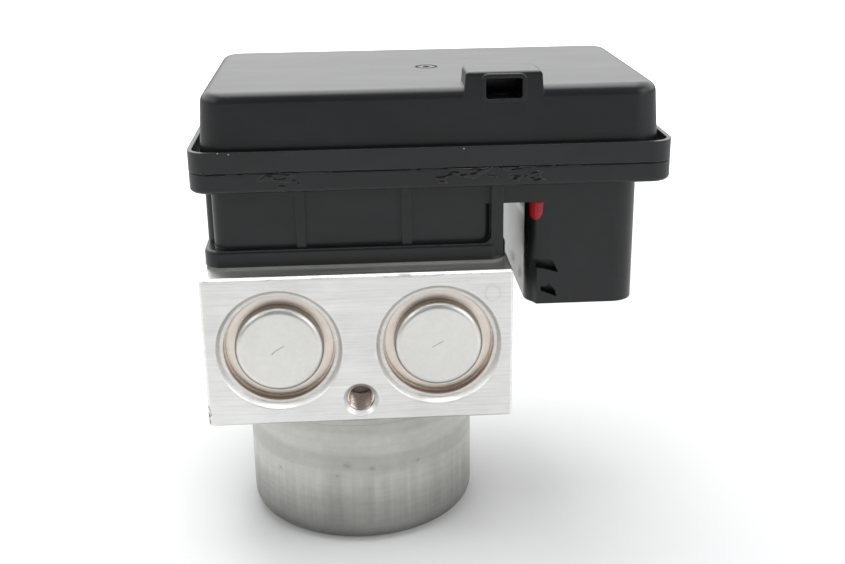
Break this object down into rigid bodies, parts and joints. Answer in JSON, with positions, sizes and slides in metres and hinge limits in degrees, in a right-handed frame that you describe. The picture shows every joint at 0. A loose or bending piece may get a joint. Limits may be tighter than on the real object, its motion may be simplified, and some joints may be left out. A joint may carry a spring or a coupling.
{
  "type": "brake modulator",
  "caption": "Anti-lock brake module: black control unit with a downward connector on a machined aluminium valve block, with a round pump motor below.",
  "frame": {"origin": "centre of the flat end of the motor can, on which the module stands", "axes": "+Z from the motor through the valve block to the control unit, -Y out of the face with the two caps, +X towards the connector"},
  "size_m": [0.1386, 0.0925, 0.1438],
  "materials": {
    "block_aluminium": "milled, fine horizontal tool marks",
    "can_steel": "drawn steel, satin",
    "cap_steel": "pressed steel, plated",
    "plug_steel": "turned, plated",
    "sheet_steel": "plain",
    "bearing_steel": "ground",
    "screw_steel": "plated",
    "spring_steel": "drawn wire",
    "bronze": "sintered",
    "copper": "enamelled wire",
    "terminal_metal": "tin plated",
    "ferrite": "sintered",
    "piston_aluminium": "anodised",
    "housing_plastic": "glass-filled moulding, satin",
    "cover_plastic": "glass-filled moulding, satin",
    "inner_plastic": "moulded",
    "carbon": "pressed carbon",
    "membrane": "porous film",
    "gasket_rubber": "moulded",
    "board_laminate": "solder mask"
  },
  "bodies": {
    "module": {"hydraulic_block": "block_aluminium", "ball_plugs": "bearing_steel", "motor_can": "can_steel", "rear_bush": "bronze", "motor_end_plate": "sheet_steel", "motor_magnets": "ferrite", "bearing_outer_ring": "bearing_steel", "bearing_balls": "bearing_steel", "brush_holder": "inner_plastic", "motor_terminals": "terminal_metal", "motor_screws": "screw_steel", "ecu_screws": "screw_steel", "inlet_valve_bodies": "sheet_steel", "outlet_valve_bodies": "sheet_steel", "coil_yokes": "sheet_steel", "solenoid_coils": "copper", "connector_pins": "terminal_metal", "ecu_housing": "housing_plastic", "housing_gasket": "gasket_rubber", "circuit_board": "board_laminate", "board_parts": "inner_plastic", "ecu_cover": "cover_plastic", "vent_membrane": "membrane", "pump_sleeve_left": "bearing_steel", "pump_plug_left": "plug_steel", "pump_spring_left": "spring_steel", "accumulator_cap_left": "cap_steel", "accumulator_ring_left": "cap_steel", "accumulator_spring_left": "spring_steel", "brush_spring_left": "spring_steel", "pump_sleeve_right": "bearing_steel", "pump_plug_right": "plug_steel", "pump_spring_right": "spring_steel", "accumulator_cap_right": "cap_steel", "accumulator_ring_right": "cap_steel", "accumulator_spring_right": "spring_steel", "brush_spring_right": "spring_steel"},
    "rotor": {"rotor_shaft": "bearing_steel", "armature_stack": "sheet_steel", "armature_windings": "copper", "commutator": "copper", "bearing_inner_ring": "bearing_steel"},
    "race": {"eccentric_ring": "bearing_steel"},
    "pump_piston_left": {"pump_piston_left": "bearing_steel"},
    "accumulator_left": {"accumulator_piston_left": "piston_aluminium", "accumulator_seal_left": "gasket_rubber"},
    "brush_left": {"brush_left": "carbon"},
    "pump_piston_right": {"pump_piston_right": "bearing_steel"},
    "accumulator_right": {"accumulator_piston_right": "piston_aluminium", "accumulator_seal_right": "gasket_rubber"},
    "brush_right": {"brush_right": "carbon"},
    "inlet_plunger_1": {"inlet_plunger_1": "bearing_steel"},
    "inlet_plunger_2": {"inlet_plunger_2": "bearing_steel"},
    "inlet_plunger_3": {"inlet_plunger_3": "bearing_steel"},
    "inlet_plunger_4": {"inlet_plunger_4": "bearing_steel"},
    "outlet_plunger_1": {"outlet_plunger_1": "bearing_steel"},
    "outlet_plunger_2": {"outlet_plunger_2": "bearing_steel"},
    "outlet_plunger_3": {"outlet_plunger_3": "bearing_steel"},
    "outlet_plunger_4": {"outlet_plunger_4": "bearing_steel"}
  },
  "joints": [
    {"name": "rotor_spin", "type": "hinge", "parent": "module", "child": "rotor", "pos_m": [0, 0, 0.0425], "axis": [0, 0, 1], "continuous": true},
    {"name": "race_spin", "type": "hinge", "parent": "rotor", "child": "race", "pos_m": [0, 0.001, 0.0555], "axis": [0, 0, 1], "continuous": true},
    {"name": "pump_slide_left", "type": "slide", "parent": "module", "child": "pump_piston_left", "axis": [1, 0, 0], "range_m": [0, 0.001], "stiffness_N_per_m": 400, "deforming": ["pump_spring_left"]},
    {"name": "accumulator_slide_left", "type": "slide", "parent": "module", "child": "accumulator_left", "axis": [0, -1, 0], "range_m": [0, 0.0065], "stiffness_N_per_m": 800, "deforming": ["accumulator_spring_left"]},
    {"name": "brush_slide_left", "type": "slide", "parent": "module", "child": "brush_left", "axis": [-1, 0, 0], "range_m": [0, 0.002], "stiffness_N_per_m": 150, "deforming": ["brush_spring_left"]},
    {"name": "pump_slide_right", "type": "slide", "parent": "module", "child": "pump_piston_right", "axis": [-1, 0, 0], "range_m": [0, 0.001], "stiffness_N_per_m": 400, "deforming": ["pump_spring_right"]},
    {"name": "accumulator_slide_right", "type": "slide", "parent": "module", "child": "accumulator_right", "axis": [0, -1, 0], "range_m": [0, 0.0065], "stiffness_N_per_m": 800, "deforming": ["accumulator_spring_right"]},
    {"name": "brush_slide_right", "type": "slide", "parent": "module", "child": "brush_right", "axis": [1, 0, 0], "range_m": [0, 0.002], "stiffness_N_per_m": 150, "deforming": ["brush_spring_right"]},
    {"name": "inlet_valve_1", "type": "slide", "parent": "module", "child": "inlet_plunger_1", "axis": [0, 0, 1], "range_m": [0, 0.0003], "stiffness_N_per_m": 500},
    {"name": "inlet_valve_2", "type": "slide", "parent": "module", "child": "inlet_plunger_2", "axis": [0, 0, 1], "range_m": [0, 0.0003], "stiffness_N_per_m": 500},
    {"name": "inlet_valve_3", "type": "slide", "parent": "module", "child": "inlet_plunger_3", "axis": [0, 0, 1], "range_m": [0, 0.0003], "stiffness_N_per_m": 500},
    {"name": "inlet_valve_4", "type": "slide", "parent": "module", "child": "inlet_plunger_4", "axis": [0, 0, 1], "range_m": [0, 0.0003], "stiffness_N_per_m": 500},
    {"name": "outlet_valve_1", "type": "slide", "parent": "module", "child": "outlet_plunger_1", "axis": [0, 0, 1], "range_m": [0, 0.0003], "stiffness_N_per_m": 500},
    {"name": "outlet_valve_2", "type": "slide", "parent": "module", "child": "outlet_plunger_2", "axis": [0, 0, 1], "range_m": [0, 0.0003], "stiffness_N_per_m": 500},
    {"name": "outlet_valve_3", "type": "slide", "parent": "module", "child": "outlet_plunger_3", "axis": [0, 0, 1], "range_m": [0, 0.0003], "stiffness_N_per_m": 500},
    {"name": "outlet_valve_4", "type": "slide", "parent": "module", "child": "outlet_plunger_4", "axis": [0, 0, 1], "range_m": [0, 0.0003], "stiffness_N_per_m": 500}
  ]
}
